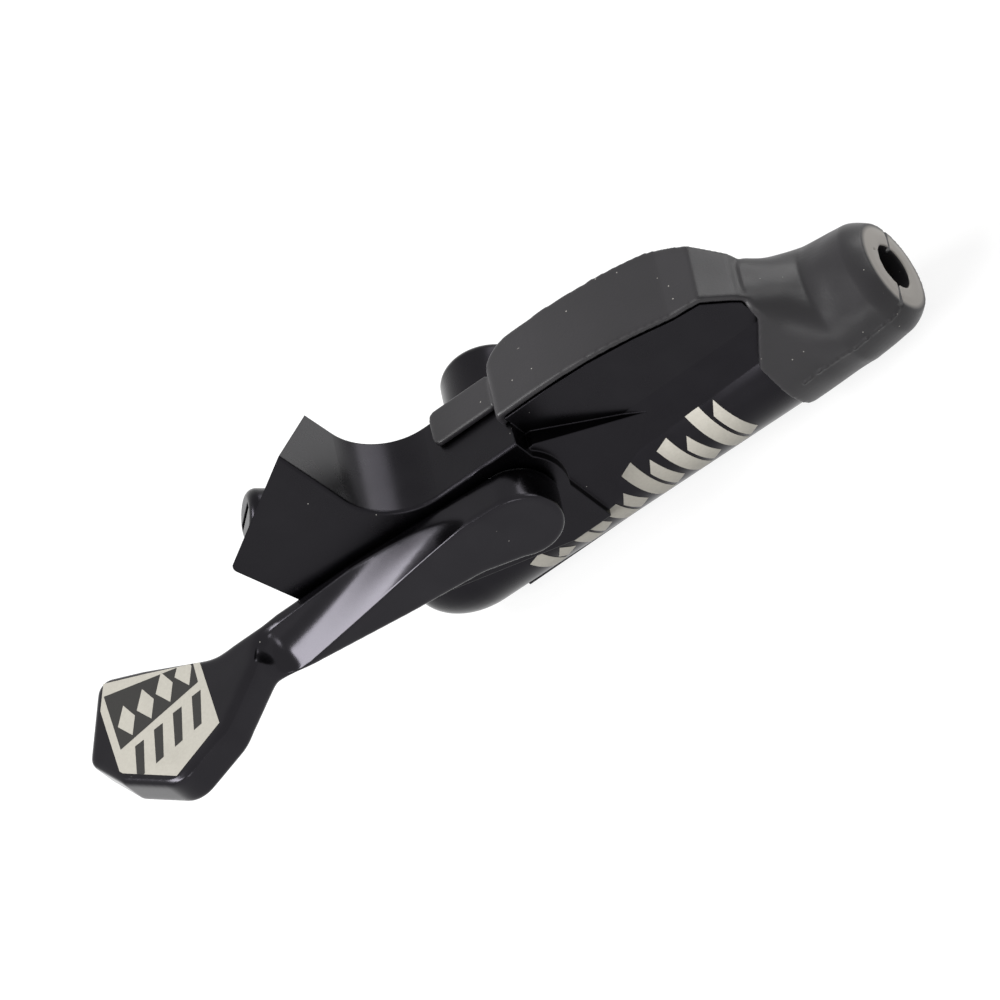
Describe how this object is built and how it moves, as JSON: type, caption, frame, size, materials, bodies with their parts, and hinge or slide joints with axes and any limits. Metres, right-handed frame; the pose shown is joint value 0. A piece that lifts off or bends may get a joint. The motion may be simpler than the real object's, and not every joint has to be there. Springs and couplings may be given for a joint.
{
  "type": "dropper post remote lever",
  "caption": "Hydraulic seatpost remote: thumb lever on a pivoting crank pushes a piston in a barrel under a rubber boot.",
  "frame": {"origin": "centre of the clamp pedestal's end face, on the lever's pivot line", "axes": "+X towards the hose, +Y out of the pedestal towards the handlebar clamp, +Z towards the thumb side"},
  "size_m": [0.0989, 0.031, 0.0403],
  "materials": {
    "black_anodised": "satin black anodised",
    "black_polished": "gloss black anodised",
    "boot_rubber": "matte moulded",
    "seal_rubber": "smooth moulded",
    "steel": "ground",
    "black_steel": "black oxide",
    "spring_steel": "drawn",
    "natural_aluminium": "turned",
    "brass": "turned",
    "bearing_plastic": "moulded"
  },
  "bodies": {
    "housing": {"lever_body": "black_anodised", "front_bushing": "bearing_plastic", "rear_bushing": "bearing_plastic", "shaft_seal": "seal_rubber", "return_spring": "spring_steel", "port_fitting": "natural_aluminium", "port_oring": "seal_rubber", "compression_nut": "black_anodised", "olive_ring": "brass", "bladder": "seal_rubber", "reservoir_plate": "natural_aluminium", "reservoir_screws": "steel", "adjuster_oring": "seal_rubber", "adjuster_clip": "spring_steel", "bleed_screw": "black_steel", "bleed_oring": "seal_rubber", "bottom_cover": "black_anodised", "cover_screws": "black_steel", "boot_cover": "boot_rubber"},
    "lever": {"lever_blade": "black_polished", "pivot_shaft": "steel", "shaft_clip": "spring_steel", "crank_arm": "steel", "crank_pin": "spring_steel"},
    "piston_set": {"pushrod": "steel", "piston": "natural_aluminium", "secondary_seal": "seal_rubber", "primary_cup_seal": "seal_rubber"},
    "dial": {"adjuster_dial": "black_anodised"},
    "stop": {"stop_pin": "steel"}
  },
  "joints": [
    {"name": "lever_pivot", "type": "hinge", "parent": "housing", "child": "lever", "pos_m": [0, -0.0178, 0], "axis": [0, -1, 0], "range_deg": [0, 32], "stiffness_Nm_per_rad": 0.4, "springref_deg": -17.19},
    {"name": "piston_stroke", "type": "slide", "parent": "housing", "child": "piston_set", "axis": [1, 0, 0], "range_m": [0, 0.00572], "deforming": ["return_spring"]},
    {"name": "dial_turn", "type": "hinge", "parent": "housing", "child": "dial", "pos_m": [-0.02442, -0.0132, 0.01595], "axis": [-0.6581, 0, 0.753], "range_deg": [0, 720]},
    {"name": "stop_slide", "type": "slide", "parent": "housing", "child": "stop", "axis": [-0.6581, 0, 0.753], "range_m": [0, 0.0014]}
  ],
  "couplings": [
    {"joint": "piston_stroke", "follows": "lever_pivot", "m_per_rad": 0.010068},
    {"joint": "dial_turn", "follows": "stop_slide", "rad_per_m": 8975.9}
  ]
}
